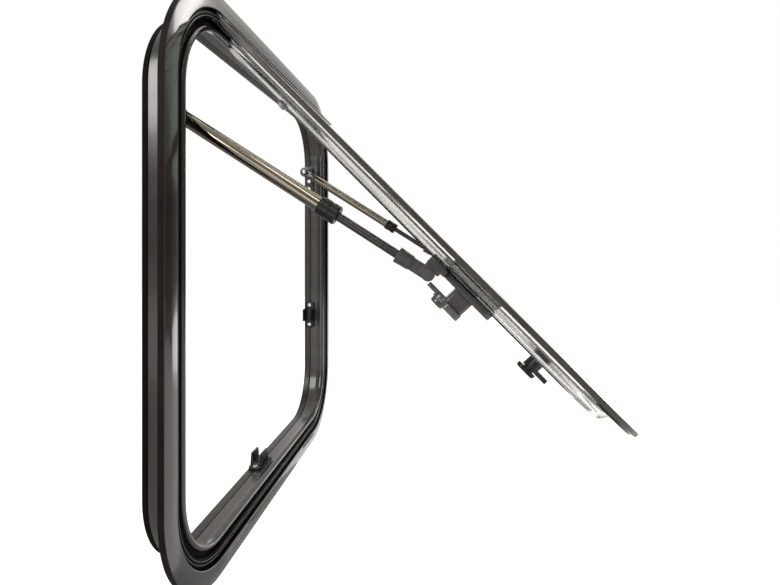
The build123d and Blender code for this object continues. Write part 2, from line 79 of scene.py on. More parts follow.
# sash: s runs down it from the hinge axis, and z outwards from it
_, HINGE_Y, HINGE_Z = joint_place("sash_hinge")
OPEN = math.radians(-joint_of["sash_hinge"]["range_deg"][0])
SASH_DOWN = Vector((0, -math.sin(OPEN), -math.cos(OPEN)))
SASH_OUT = Vector((0, -math.cos(OPEN), math.sin(OPEN)))
PANE_INSET, PANE_TOP = 20.0, 6.0
PANE_HALF_W, PANE_R = WIDTH / 2 - PANE_INSET, CORNER_R - PANE_INSET
PANE_BOTTOM = HINGE_Z - ZB - PANE_INSET
OUTER_Z, OUTER_T = 3.5, 4.0
INNER_T, AIR_GAP = 2.0, 9.0
PANE_BACK = OUTER_Z - OUTER_T
TRAY_IN = PANE_BACK - INNER_T - AIR_GAP         # inner face of the tray's raised field
SIDE_LATCH_INSET, SIDE_LATCH_S = 64.0, 328.5
BOTTOM_LATCH_INSET = 61.0
SIDE_LATCH_X = WIDTH / 2 - SIDE_LATCH_INSET
BOTTOM_LATCH_S = HINGE_Z - ZB - BOTTOM_LATCH_INSET


def on_sash(x, s, z):
    """A point x across, s down the sash from the hinge axis and z outwards, in metres."""
    return (Vector((x, HINGE_Y, HINGE_Z)) + SASH_DOWN * s + SASH_OUT * z) * MM


# stays: from the pivot on the jamb to the cradle on the sash
STAY_X, PIVOT_Y, PIVOT_Z = joint_place("right_stay_pivot")
STAY_END_S, STAY_END_Z = 297.0, -23.4
stay_start = Vector((0, PIVOT_Y, PIVOT_Z))
stay_end = on_sash(0, STAY_END_S, STAY_END_Z) / MM
stay_dir = (stay_end - stay_start).normalized()
STAY_TILT = math.atan2(-stay_dir.y, stay_dir.z)

# materials

CLOUD_SCALE = 38.0                              # patches of tone on coated pieces
GLOSS_SCALE, GLOSS_DETAIL, GLOSS_SPREAD = 90.0, 6.0, 0.12
SKIN_DETAIL, SKIN_DEPTH = 2.0, 0.0002
COAT_ROUGH = 0.07
STREAK_SCALE, STREAK_DETAIL = 260.0, 1.0        # drawing lines on metal
SHEET_SCALE, SHEET_DETAIL = 12.0, 3.0           # unevenness of the acrylic
RAMP_START, RAMP_END = 0.3, 0.7
STAGE_SCALE, STAGE_ROUGH = 6.0, 0.9
materials = {}


def new_material(name):
    """A material with a Principled shader, kept under its name; gives its nodes and the shader."""
    mat = bpy.data.materials.new(name)
    mat.use_nodes = True
    nt = mat.node_tree
    nt.nodes.clear()
    out = nt.nodes.new("ShaderNodeOutputMaterial")
    bsdf = nt.nodes.new("ShaderNodeBsdfPrincipled")
    nt.links.new(bsdf.outputs[0], out.inputs[0])
    materials[name] = mat
    return nt, bsdf


def noise(nt, scale, detail=4.0, stretch=1.0, tilt=0.0):
    """Cloudy noise, drawn out by stretch along the Z axis turned by tilt about X."""
    coord = nt.nodes.new("ShaderNodeTexCoord")
    mapping = nt.nodes.new("ShaderNodeMapping")
    mapping.vector_type = "TEXTURE"
    mapping.inputs["Rotation"].default_value = (tilt, 0, 0)
    mapping.inputs["Scale"].default_value = (1, 1, stretch)
    tex = nt.nodes.new("ShaderNodeTexNoise")
    tex.inputs["Scale"].default_value = scale
    tex.inputs["Detail"].default_value = detail
    nt.links.new(coord.outputs["Object"], mapping.inputs[0])
    nt.links.new(mapping.outputs[0], tex.inputs["Vector"])
    return tex.outputs["Fac"]


def ramp(nt, value, low, high):
    """Turns a noise value into a colour between low and high."""
    node = nt.nodes.new("ShaderNodeValToRGB")
    first, last = node.color_ramp.elements
    first.position, first.color = RAMP_START, (*low, 1.0)
    last.position, last.color = RAMP_END, (*high, 1.0)
    nt.links.new(value, node.inputs[0])
    return node.outputs[0]


def grey(tone):
    """A colour with no hue."""
    return (tone, tone, tone)


def bump(nt, bsdf, height, strength, distance):
    """Fine relief from a noise value."""
    node = nt.nodes.new("ShaderNodeBump")
    node.inputs["Strength"].default_value = strength
    node.inputs["Distance"].default_value = distance
    nt.links.new(height, node.inputs["Height"])
    nt.links.new(node.outputs[0], bsdf.inputs["Normal"])


def coated(name, dark, light, rough, skin_scale, skin, coat=0.0, specular=0.5):
    """Paint or moulded plastic: cloudy colour, uneven gloss and a fine skin texture."""
    nt, bsdf = new_material(name)
    nt.links.new(ramp(nt, noise(nt, CLOUD_SCALE), dark, light), bsdf.inputs["Base Color"])
    smooth, dull = grey(rough * (1 - GLOSS_SPREAD)), grey(rough * (1 + GLOSS_SPREAD))
    nt.links.new(ramp(nt, noise(nt, GLOSS_SCALE, GLOSS_DETAIL), smooth, dull), bsdf.inputs["Roughness"])
    bump(nt, bsdf, noise(nt, skin_scale, SKIN_DETAIL), skin, SKIN_DEPTH)
    bsdf.inputs["Specular IOR Level"].default_value = specular
    bsdf.inputs["Coat Weight"].default_value = coat
    bsdf.inputs["Coat Roughness"].default_value = COAT_ROUGH


def metal(name, dark, light, rough, stretch=1.0, tilt=0.0):
    """Bare metal with fine lines along the direction in which it was drawn."""
    nt, bsdf = new_material(name)
    streak = noise(nt, STREAK_SCALE, STREAK_DETAIL, stretch, tilt)
    nt.links.new(ramp(nt, streak, dark, light), bsdf.inputs["Base Color"])
    bsdf.inputs["Metallic"].default_value = 1.0
    bsdf.inputs["Roughness"].default_value = rough


def acrylic(name, dark, light, ior, absorb=None, density=0.0):
    """Polished clear sheet with a faint unevenness of colour; absorb is the tint inside it."""
    nt, bsdf = new_material(name)
    nt.links.new(ramp(nt, noise(nt, SHEET_SCALE, SHEET_DETAIL), dark, light), bsdf.inputs["Base Color"])
    bsdf.inputs["Transmission Weight"].default_value = 1.0
    bsdf.inputs["IOR"].default_value = ior
    bsdf.inputs["Roughness"].default_value = 0.0
    if absorb:
        vol = nt.nodes.new("ShaderNodeVolumeAbsorption")
        vol.inputs["Color"].default_value = (*absorb, 1.0)
        vol.inputs["Density"].default_value = density
        nt.links.new(vol.outputs[0], nt.nodes["Material Output"].inputs["Volume"])


# warm black powder coat of the frame: flange, lining on the wall's side and inside, rim and groove, where the
# lining, rim and groove carry painted shade or light as darker or lighter copies of the coat
coated("frame_paint", (0.022, 0.020, 0.017), (0.030, 0.027, 0.023),
       rough=0.17, skin_scale=1400.0, skin=0.03, coat=0.5)
# the lining's wall side: a darker copy of the coat, painted shade, with a glossier finish
coated("shaded_lining", (0.013, 0.011, 0.010), (0.020, 0.018, 0.016),
       rough=0.22, skin_scale=900.0, skin=0.14, coat=0.3, specular=0.9)
# the lining's inside: a lighter copy of the coat, painted light
coated("lit_inner_lining", (0.048, 0.045, 0.039), (0.064, 0.060, 0.052),
       rough=0.24, skin_scale=1400.0, skin=0.05, coat=0.4)
# the rim: a darker, duller copy of the coat, painted shade on the flange's outer edge
coated("shaded_rim", (0.008, 0.005, 0.004), (0.016, 0.010, 0.008),
       rough=0.5, skin_scale=1200.0, skin=0.3, specular=0.1)
# the gasket's groove: near black, painted shade in the recess
coated("shaded_groove", grey(0.004), grey(0.007), rough=0.6, skin_scale=1400.0, skin=0.1, specular=0.03)
coated("hinge", (0.030, 0.029, 0.027), (0.046, 0.044, 0.041),
       rough=0.25, skin_scale=1500.0, skin=0.08, coat=0.5)

# trim and gasket
coated("trim", (0.024, 0.022, 0.019), (0.032, 0.029, 0.025),
       rough=0.30, skin_scale=2600.0, skin=0.12, specular=0.45)
coated("trim_edge", grey(0.004), grey(0.006), rough=0.6, skin_scale=2600.0, skin=0.2, specular=0.04)
coated("rubber", grey(0.005), grey(0.008), rough=0.45, skin_scale=1800.0, skin=0.1, specular=0.03)
# crests of the gasket's ribs: a lighter copy of the rubber, painted highlight
coated("rib", grey(0.030), grey(0.040), rough=0.2, skin_scale=1800.0, skin=0.05, specular=0.9)

# moulded plastic: latches, keepers, ends of the stays, plugs and spacers
coated("plastic", (0.034, 0.032, 0.030), (0.048, 0.045, 0.042),
       rough=0.27, skin_scale=2200.0, skin=0.12, specular=0.8)
coated("matt_plastic", (0.056, 0.053, 0.049), (0.074, 0.070, 0.066),
       rough=0.45, skin_scale=2200.0, skin=0.2)
coated("dark_plastic", grey(0.008), grey(0.012),
       rough=0.28, skin_scale=2200.0, skin=0.12, specular=0.35)
coated("hub", (0.078, 0.075, 0.071), (0.100, 0.096, 0.090),
       rough=0.24, skin_scale=2200.0, skin=0.12, specular=0.9)
coated("plug", grey(0.26), grey(0.34), rough=0.25, skin_scale=1600.0, skin=0.1)
coated("spacer", (0.27, 0.262, 0.248), (0.34, 0.332, 0.315),
       rough=0.4, skin_scale=1600.0, skin=0.2)
coated("dark_spacer", (0.085, 0.082, 0.077), (0.115, 0.111, 0.105),
       rough=0.4, skin_scale=1600.0, skin=0.2)

# metal of the stays, brackets and screws
coated("rod", grey(0.018), grey(0.026), rough=0.22, skin_scale=900.0, skin=0.04, coat=0.3)
coated("bracket", grey(0.020), grey(0.030), rough=0.34, skin_scale=1600.0, skin=0.2)
metal("tube", (0.20, 0.176, 0.14), (0.34, 0.304, 0.25), rough=0.09, stretch=200.0, tilt=STAY_TILT)
metal("zinc", (0.66, 0.65, 0.62), (0.80, 0.79, 0.76), rough=0.28)

# panes: tinted sheet with its sawn edge, and clear tray
acrylic("outer_acrylic", grey(0.90), grey(0.94), ior=1.49, absorb=(0.38, 0.46, 0.40), density=160.0)
coated("sheet_edge", (0.044, 0.041, 0.036), (0.064, 0.060, 0.053),
       rough=0.3, skin_scale=700.0, skin=0.15, specular=0.3)
acrylic("inner_acrylic", (0.94, 0.93, 0.915), (0.97, 0.965, 0.955), ior=1.36)

# each CAD piece takes the material of its slot, unless it is named here
MATERIAL_OF_SLOT = {
    "frame_paint": "frame_paint", "trim_plastic": "trim", "seal_rubber": "rubber",
    "black_plastic": "plastic", "stay_rod_paint": "rod", "bracket_zinc": "bracket",
    "stay_tube_metal": "tube", "tinted_acrylic": "outer_acrylic", "clear_acrylic": "inner_acrylic",
}
MATERIAL_OF_NODE = {"hinge_rail": "hinge", "hinge_profile": "hinge"}
for side, _ in SIDES:
    MATERIAL_OF_NODE[f"{side}_stay_fitting"] = "matt_plastic"
    MATERIAL_OF_NODE[f"{side}_latch_hub"] = "hub"
    MATERIAL_OF_NODE[f"{side}_keeper"] = "dark_plastic"
for part in ("keeper", "latch_base", "latch_hub", "latch_grip"):
    MATERIAL_OF_NODE[f"bottom_{part}"] = "dark_plastic"
for row in record["subparts"]:
    own = nodes[row["node"]].data.materials
    own.clear()
    own.append(materials[MATERIAL_OF_NODE.get(row["node"]) or MATERIAL_OF_SLOT[row["material_slot"]]])

# mesh helpers

SHARP_DEG = 32.0            # sharper edges of a new piece stay sharp
SOFTEN_DEG = 35.0           # sharper edges of a CAD piece are rounded
WELD_M = 0.00001
MAX_REACH = 0.48            # share of a side that the rounding of one corner may take
ARC_STEPS = 28


def add_piece(name, verts, faces, material, body):
    """A new smooth mesh that rides on a body."""
    mesh = bpy.data.meshes.new(name)
    mesh.from_pydata([tuple(v) for v in verts], [], faces)
    bm = bmesh.new()
    bm.from_mesh(mesh)
    bmesh.ops.recalc_face_normals(bm, faces=bm.faces)
    bm.to_mesh(mesh)
    bm.free()
    for poly in mesh.polygons:
        poly.use_smooth = True
    mesh.set_sharp_from_angle(angle=math.radians(SHARP_DEG))
    mesh.materials.append(materials[material])
    obj = bpy.data.objects.new(name, mesh)
    bpy.context.scene.collection.objects.link(obj)
    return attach(obj, body)


def rounded(corners, steps=5, closed=True):
    """A chain of points with each corner (x, y, radius) rounded by an arc."""
    pts = []
    count = len(corners)
    for i, (x, y, r) in enumerate(corners):
        p = Vector((x, y))
        if r <= 0 or (not closed and i in (0, count - 1)):
            pts.append(p)
            continue
        a = Vector(corners[i - 1][:2]) - p
        b = Vector(corners[(i + 1) % count][:2]) - p
        half = a.angle(b) / 2
        reach = min(r / math.tan(half), MAX_REACH * a.length, MAX_REACH * b.length)
        r = reach * math.tan(half)
        a.normalize()
        b.normalize()
        centre = p + (a + b).normalized() * (r / math.sin(half))
        start, end = p + a * reach - centre, p + b * reach - centre
        turn = start.angle_signed(end)
        for k in range(steps + 1):
            t = -turn * k / steps
            c, s = math.cos(t), math.sin(t)
            pts.append(centre + Vector((start.x * c - start.y * s, start.x * s + start.y * c)))
    return pts


def grid_faces(rows, cols, wrap_rows=True, wrap_cols=True):
    """Quads over a grid of vertices stored row by row."""
    faces = []
    for i in range(rows if wrap_rows else rows - 1):
        for j in range(cols if wrap_cols else cols - 1):
            a, b = i * cols, (i + 1) % rows * cols
            k = (j + 1) % cols
            faces.append((a + j, a + k, b + k, b + j))
    return faces


def frame_stations(extra=()):
    """Places round the frame: centre of the corner's arc, angle, and how far the section shrinks there."""
    dx, dz = WIDTH / 2 - CORNER_R, HEIGHT / 2 - CORNER_R
    stations = []
    for cx, cz, start in ((dx, -dz, -90), (dx, dz, 0), (-dx, dz, 90), (-dx, -dz, 180)):
        for i in range(ARC_STEPS + 1):
            stations.append((cx, cz, math.radians(start + 90 * i / ARC_STEPS), 0.0))
    return stations + [(x, -dz, math.radians(270), shrink) for x, shrink in extra]


def ring(name, section, material, body, extra=()):
    """A section of points (inset, Y) swept round the frame's outline."""
    count = len(section)
    normals = []
    for i in range(count):
        d = section[(i + 1) % count] - section[i - 1]
        normals.append(Vector((-d.y, d.x)).normalized())
    verts = []
    for cx, cz, angle, shrink in frame_stations(extra):
        for point, normal in zip(section, normals):
            p = point - normal * shrink
            reach = CORNER_R - p.x
            place = Vector((cx + reach * math.cos(angle), p.y, ZC + cz + reach * math.sin(angle)))
            verts.append(place * MM)
    return add_piece(name, verts, grid_faces(len(verts) // count, count), material, body)


def zone(piece, section, material, test):
    """Another material for the faces over the section's steps whose two ends p and q pass a test."""
    ends = zip(section, section[1:] + section[:1])
    picked = {i for i, (p, q) in enumerate(ends) if test(p, q)}
    piece.data.materials.append(materials[material])
    for poly in piece.data.polygons:
        if poly.index % len(section) in picked:
            poly.material_index = len(piece.data.materials) - 1


def cut(obj, cutter):
    """Takes the cutter's shape out of a piece, which keeps its own materials."""
    keep = len(obj.data.materials)
    mod = obj.modifiers.new("cut", "BOOLEAN")
    mod.operation = "DIFFERENCE"
    mod.solver = "EXACT"
    mod.object = cutter
    bpy.context.view_layer.update()
    shape = bpy.data.meshes.new_from_object(obj.evaluated_get(bpy.context.evaluated_depsgraph_get()))
    obj.modifiers.clear()
    obj.data = shape
    while len(shape.materials) > keep:
        shape.materials.pop()
    bpy.data.objects.remove(cutter)


def sash_loop(half_w, top, bottom, r, z, middle=0.0, steps=20):
    """A rounded rectangle of points on the sash, with its middle that far across."""
    pts = []
    for x, s, start in ((half_w - r, bottom - r, 0), (r - half_w, bottom - r, 90),
                        (r - half_w, top + r, 180), (half_w - r, top + r, 270)):
        for i in range(steps + 1):
            a = math.radians(start + 90 * i / steps)
            pts.append(on_sash(middle + x + r * math.cos(a), s + r * math.sin(a), z))
    return pts


def sash_sheet(name, loops, material, body):
    """A sheet bounded by loops on the sash, its first and last loop closed by flat faces."""
    count = len(loops[0])
    faces = grid_faces(len(loops), count, wrap_rows=False)
    faces.append(tuple(range(count)))
    faces.append(tuple(range((len(loops) - 1) * count, len(loops) * count)))
    return add_piece(name, [p for loop in loops for p in loop], faces, material, body)


def lathe(name, outline, origin, axis, material, body, segments=56, closed=False):
    """An outline of (radius, distance along the axis) turned round it, in millimetres."""
    axis = Vector(axis).normalized()
    u = axis.orthogonal().normalized()
    v = axis.cross(u)
    verts, count = [], len(outline)
    for k in range(segments):
        a = 2 * math.pi * k / segments
        radial = u * math.cos(a) + v * math.sin(a)
        verts += [(Vector(origin) + axis * t + radial * r) * MM for r, t in outline]
    faces = grid_faces(segments, count, wrap_cols=closed)
    if not closed:
        faces.append(tuple(k * count for k in range(segments)))
        faces.append(tuple(k * count + count - 1 for k in range(segments)))
    return add_piece(name, verts, faces, material, body)


SCREW_R = 3.5
HEAD_SEGMENTS = 28
HEAD_OUTLINE = ((1.0, 0.0), (1.0, 0.35), (0.9, 0.8), (0.72, 1.0))   # shares of radius and height
HEAD_HEIGHT, CROSS_ARM, CROSS_HALF = 0.62, 0.52, 0.13               # shares of the radius
CROSS_TAPER, CROSS_FLOOR = 0.75, 0.3        # the recess's floor: its size, and its share of the height


def screw(name, place, normal, body):
    """A pan-head screw with a cross recess, its head standing on place."""
    normal = Vector(normal).normalized()
    u = normal.orthogonal().normalized()
    v = normal.cross(u)
    height, arm, half = SCREW_R * HEAD_HEIGHT, SCREW_R * CROSS_ARM, SCREW_R * CROSS_HALF
    verts, faces = [], []

    def put(x, y, z):
        verts.append((Vector(place) + u * x + v * y + normal * z) * MM)
        return len(verts) - 1

    def circle(r, z):
        angles = [2 * math.pi * k / HEAD_SEGMENTS for k in range(HEAD_SEGMENTS)]
        return [put(r * math.cos(a), r * math.sin(a), z) for a in angles]

    def band(lower, upper):
        for k in range(len(lower)):
            n = (k + 1) % len(lower)
            faces.append((lower[k], lower[n], upper[n], upper[k]))

    rims = [circle(SCREW_R * r, height * z) for r, z in HEAD_OUTLINE]
    for lower, upper in zip(rims, rims[1:]):
        band(lower, upper)
    faces.append(tuple(rims[0]))
    cross = []
    quarter = [(arm, half), (half, half), (half, arm)]
    for _ in range(4):
        cross += quarter
        quarter = [(-y, x) for x, y in quarter]
    top = [put(x, y, height) for x, y in cross]
    deep = [put(x * CROSS_TAPER, y * CROSS_TAPER, height * CROSS_FLOOR) for x, y in cross]
    band(top, deep)
    faces.append(tuple(deep))
    flat = rims[-1] + top
    triangles = tessellate_polygon([[verts[i] / MM for i in rims[-1]], [verts[i] / MM for i in top]])
    faces += [tuple(flat[i] for i in triangle) for triangle in triangles]
    return add_piece(name, verts, faces, "zinc", body)


def soften(node, width, segments=3):
    """Small round edges on a CAD piece."""
    obj = nodes[node]
    weld = obj.modifiers.new("weld", "WELD")
    weld.merge_threshold = WELD_M
    edge = obj.modifiers.new("edge", "BEVEL")
    edge.limit_method = "ANGLE"
    edge.angle_limit = math.radians(SOFTEN_DEG)
    edge.width = width * MM
    edge.segments = segments
    edge.harden_normals = True
    for poly in obj.data.polygons:
        poly.use_smooth = True


# frame rail: points (inset, Y, corner radius) of its section, from the flange's back round to its rim

COVE_START_Y, COVE_END_Y = 6.6, 1.4
GROOVE_SLOPE, LIP_DRAFT = 1.0, 0.3
FACE_CROWN = (9.0, -7.4, 14.0)                  # makes the flange's face bulge
REBATE_Y = LINING_Y + REBATE_DEPTH
BEAD_R = (OPENING_INSET - BEAD_INSET) / 2
RAIL = [
    (0, 0, 0.4), (FLANGE_BACK_W, 0, 0.4),
    (FLANGE_BACK_W, REBATE_Y, 0.4), (REBATE_INSET, REBATE_Y, 0.3), (REBATE_INSET, LINING_Y, 0.2),
    (LINING_INSET, LINING_Y, 0.7), (LINING_INSET, COVE_START_Y, 5.0), (OPENING_INSET, COVE_END_Y, 3.2),
    (OPENING_INSET, BEAD_Y, BEAD_R), (BEAD_INSET, BEAD_Y, BEAD_R),
    (BEAD_INSET, GROOVE_DEEP_Y, 0.5), (GROOVE_STEP_INSET + GROOVE_SLOPE, GROOVE_DEEP_Y, 0.5),
    (GROOVE_STEP_INSET, GROOVE_FLOOR_Y, 0.5), (LIP_INSET + LIP_DRAFT, GROOVE_FLOOR_Y, 0.4),
    (LIP_INSET, LIP_Y, 1.0), FACE_CROWN, (0, -FLANGE_RIM, 1.3),
]
LINE_D, LINE_HALF = 0.25, 0.2                   # fine lines round the rim
for line_y in (-3.9, -1.7):
    RAIL += [(0, line_y - LINE_HALF, 0), (LINE_D, line_y, 0), (0, line_y + LINE_HALF, 0)]

JOINT_HALF, JOINT_DEPTH = 0.18, 0.35            # butt joint in the middle of the bottom rail
butt_joint = [(-JOINT_HALF * 2, 0.0), (-JOINT_HALF, JOINT_DEPTH), (JOINT_HALF, JOINT_DEPTH),
              (JOINT_HALF * 2, 0.0)]
rail_section = rounded(RAIL)
rail = ring("frame_rail", rail_section, "frame_paint", "frame", butt_joint)

# bounds of the zones: past a line of the section by EASE, or short of a corner's arc
EASE = 0.3
GROOVE_END_INSET = BEAD_INSET - 0.1
GROOVE_TOP_Y = 1.5                              # takes in the sharp corner behind the flange
INNER_INSET = LINING_INSET - 0.5
INNER_FROM_Y, INNER_TO_Y = 3.0, 2.0             # in the cove behind the bead
# rim faces: painted shade
zone(rail, rail_section, "shaded_rim", lambda p, q: p.x < EASE and q.x < 2 * EASE)
# groove faces: painted shade
zone(rail, rail_section, "shaded_groove", lambda p, q: LIP_INSET < p.x < GROOVE_END_INSET and p.y > BEAD_Y
     and max(p.y, q.y) < GROOVE_TOP_Y)
# the lining's wall side: painted shade
zone(rail, rail_section, "shaded_lining", lambda p, q: p.x < FLANGE_BACK_W + EASE and min(p.y, q.y) > EASE)
# the lining's inside: painted light
zone(rail, rail_section, "lit_inner_lining",
     lambda p, q: p.x > INNER_INSET and p.y > INNER_FROM_Y and q.y > INNER_TO_Y)

CUT_Y = (-14, 6)                                # ends of the drain slots' cutter, past the flange


def slot_cutter(x, z, length, width):
    """A bar with round ends that runs through the flange."""
    end, r = length / 2, width / 2
    outline = rounded([(-end, -r, r), (end, -r, r), (end, r, r), (-end, r, r)], steps=6)
    verts = [Vector((x + p.x, y, z + p.y)) * MM for y in CUT_Y for p in outline]
    n = len(outline)
    faces = grid_faces(2, n, wrap_rows=False) + [tuple(range(n)), tuple(range(n, 2 * n))]
    return add_piece("cutter", verts, faces, "frame_paint", "frame")


for _, sx in SIDES:
    cut(rail, slot_cutter(sx * DRAIN_X, ZB + DRAIN_INSET, DRAIN_LEN, DRAIN_W))
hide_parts("outer_frame")

# trim ring, with a fine joint line between it and the lining

TRIM_LINE, TRIM_EDGE_R = 0.7, 1.8
TRIM_EASE = 0.1
trim_inset, trim_start = REBATE_INSET + TRIM_GAP, REBATE_Y + TRIM_GAP
TRIM = [(FLANGE_BACK_W, trim_start, 0.4), (trim_inset, trim_start, 0.2),
        (trim_inset, LINING_Y + TRIM_LINE, 0.2), (LINING_INSET, LINING_Y + TRIM_LINE, 0.7),
        (LINING_INSET, TRIM_Y, TRIM_EDGE_R), (FLANGE_BACK_W, TRIM_Y, TRIM_EDGE_R)]
trim_section = rounded(TRIM)
trim = ring("trim_ring", trim_section, "trim", "frame")
zone(trim, trim_section, "trim_edge", lambda p, q: p.x < trim_inset + TRIM_EASE)
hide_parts("inner_trim")

# gasket with two ribs, a painted highlight on their crests

GASKET_GAP, GASKET_Y = 1.4, -3.2
RIB_Y, RIB_SHEEN = -4.6, 0.4                    # crest of a rib, and how far down from it the painted highlight reaches
RIB_INSET, RIB_PITCH, RIB_FOOT, RIB_CREST = 20.45, 2.9, 0.55, 0.35
GASKET_DRAFT = 0.3
gasket_start, gasket_end = LIP_INSET + GASKET_GAP, GROOVE_STEP_INSET - GASKET_DRAFT
GASKET = [(gasket_start, GROOVE_FLOOR_Y, 0), (gasket_start, GASKET_Y, 0.3)]
for rib in (RIB_INSET, RIB_INSET + RIB_PITCH):
    GASKET += [(rib - RIB_FOOT, GASKET_Y, 0.5), (rib - RIB_CREST, RIB_Y, 0.35),
               (rib + RIB_CREST, RIB_Y, 0.35), (rib + RIB_FOOT, GASKET_Y, 0.5)]
GASKET += [(gasket_end - GASKET_DRAFT, GASKET_Y, 0.3), (gasket_end, GROOVE_FLOOR_Y, 0)]
gasket_section = rounded(GASKET, steps=3)
gasket = ring("gasket_ring", gasket_section, "rubber", "frame")
# the rib crests: painted highlight
zone(gasket, gasket_section, "rib", lambda p, q: p.y < RIB_Y + RIB_SHEEN)
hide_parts("frame_gasket")

# outer pane, with a dark sawn edge

FLAT_INSET = 60.0           # from here to the middle a pane is one flat face
EDGE_R = 0.8
outer_loops = []
for inset, z in rounded([(FLAT_INSET, OUTER_Z, 0), (0, OUTER_Z, EDGE_R), (0, PANE_BACK, EDGE_R),
                         (FLAT_INSET, PANE_BACK, 0)], steps=4, closed=False):
    outer_loops.append(sash_loop(PANE_HALF_W - inset, PANE_TOP + inset, PANE_BOTTOM - inset,
                                 PANE_R - inset, z))
outer_pane = sash_sheet("outer_sheet", outer_loops, "outer_acrylic", "sash")
outer_pane.data.materials.append(materials["sheet_edge"])
per_loop = len(outer_loops[0])
for poly in outer_pane.data.polygons:
    if per_loop <= poly.index < (len(outer_loops) - 2) * per_loop:
        poly.material_index = 1
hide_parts("outer_pane")

# inner pane: a formed tray with a bonded rim

RIM_INSET, RIM_TOP, RIM_BOTTOM = 27.0, 11.0, 494.0
RIM_HALF_W, RIM_R = WIDTH / 2 - RIM_INSET, CORNER_R - RIM_INSET
RIM_OUT, SHEET_T = -0.58, 1.9
FOOT_TOP, FOOT_SIDE, FOOT_BOTTOM = 13.0, 16.0, 20.0         # width of the rim, up to the raised field
SLOPE = 3.3
BEND_OUT, BEND_FOOT, BEND_FIELD = 0.6, 2.0, 1.8            # how the two skins of the sheet part in its bends
field_out, rim_in = TRAY_IN + SHEET_T, RIM_OUT - SHEET_T
TRAY = [(FLAT_INSET, field_out, 0), (FOOT_SIDE + SLOPE, field_out, 5),
        (FOOT_SIDE - BEND_OUT, RIM_OUT, 3), (0, RIM_OUT, 0.6), (0, rim_in, 0.6),
        (FOOT_SIDE - BEND_FOOT, rim_in, 4), (FOOT_SIDE + SLOPE - BEND_FIELD, TRAY_IN, 4),
        (FLAT_INSET, TRAY_IN, 0)]
inner_loops = []
for inset, z in rounded(TRAY, closed=False):
    top = RIM_TOP + inset * FOOT_TOP / FOOT_SIDE
    bottom = RIM_BOTTOM - inset * FOOT_BOTTOM / FOOT_SIDE
    inner_loops.append(sash_loop(RIM_HALF_W - inset, top, bottom, RIM_R - inset, z))
inner_pane = sash_sheet("inner_sheet", inner_loops, "inner_acrylic", "sash")
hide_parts("inner_pane")

# spacers between the panes, with soft edges

SPACER_EDGE, SPACER_FIT = 3.2, 0.05
SPACER_FLAT_R = 1.0                             # round the flat face that closes a spacer
SIDE_SPACER, BOTTOM_SPACER = (50.0, 16.0), (24.0, 14.0)     # length and width
spacer_out, spacer_in = PANE_BACK - SPACER_FIT, TRAY_IN + INNER_T + SPACER_FIT
for place, x, s, (length, width), tone in (
        ("left", -SIDE_LATCH_X, SIDE_LATCH_S, SIDE_SPACER, "spacer"),
        ("right", SIDE_LATCH_X, SIDE_LATCH_S, SIDE_SPACER, "spacer"),
        ("bottom", 0.0, BOTTOM_LATCH_S, BOTTOM_SPACER, "dark_spacer")):
    r = width / 2
    top, bottom = s - length / 2, s + length / 2
    loops = []
    flat = r - SPACER_FLAT_R
    for inset, z in rounded([(flat, spacer_out, 0), (0, spacer_out, SPACER_EDGE),
                             (0, spacer_in, SPACER_EDGE), (flat, spacer_in, 0)], closed=False):
        loops.append(sash_loop(r - inset, top + inset, bottom - inset, r - inset, z, x, steps=10))
    spacer = sash_sheet(f"{place}_spacer", loops, tone, "sash")
    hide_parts(f"{place}_latch_spacer")

# stays: outlines of (radius, distance from the pivot on the jamb)

TUBE_BORE_R, TUBE_R, TUBE_START, TUBE_END = 4.7, 6.2, 22.2, 177.3
TUBE = [(TUBE_BORE_R, TUBE_START), (TUBE_R - 0.2, TUBE_START), (TUBE_R, TUBE_START + 0.3),
        (TUBE_R, TUBE_END), (TUBE_BORE_R, TUBE_END)]
COLLAR_R, COLLAR_START, COLLAR_END = 8.0, 164.7, 182.4
COLLAR_GROOVE_R, COLLAR_GROOVE_START, COLLAR_GROOVE_END = 7.5, 173.4, 174.8
SEAT_R, SEAT_END, GLAND_R = 6.25, 177.7, 4.1                # round the tube, and round the rod
BREAK = 0.5                                                 # broken edges
COLLAR = [(SEAT_R, COLLAR_START), (COLLAR_R - 0.4, COLLAR_START), (COLLAR_R, COLLAR_START + BREAK),
          (COLLAR_R, COLLAR_GROOVE_START - BREAK), (COLLAR_GROOVE_R, COLLAR_GROOVE_START),
          (COLLAR_GROOVE_R, COLLAR_GROOVE_END), (COLLAR_R, COLLAR_GROOVE_END + BREAK),
          (COLLAR_R, COLLAR_END - 1.1), (COLLAR_R - 0.7, COLLAR_END), (GLAND_R + 0.2, COLLAR_END),
          (GLAND_R, COLLAR_END - BREAK), (GLAND_R, SEAT_END), (SEAT_R, SEAT_END)]
ROD_R, ROD_START, ROD_END = 3.5, 108.5, 244.4
ROD = [(0, ROD_START), (ROD_R - 0.3, ROD_START), (ROD_R, ROD_START + 0.4), (ROD_R, ROD_END), (0, ROD_END)]
for side, sx in SIDES:
    origin = stay_start + X_AXIS * (sx * STAY_X)
    barrel, ram = f"{side}_stay_barrel", f"{side}_stay_ram"
    tube = lathe(f"{side}_tube", TUBE, origin, stay_dir, "tube", barrel, closed=True)
    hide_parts(f"{side}_stay_tube")
    collar = lathe(f"{side}_collar", COLLAR, origin, stay_dir, "dark_plastic", barrel, closed=True)
    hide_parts(f"{side}_stay_collar")
    rod = lathe(f"{side}_rod", ROD, origin, stay_dir, "rod", ram)
    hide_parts(f"{side}_stay_rod")

# round edges on the pieces that keep their CAD shape, by width

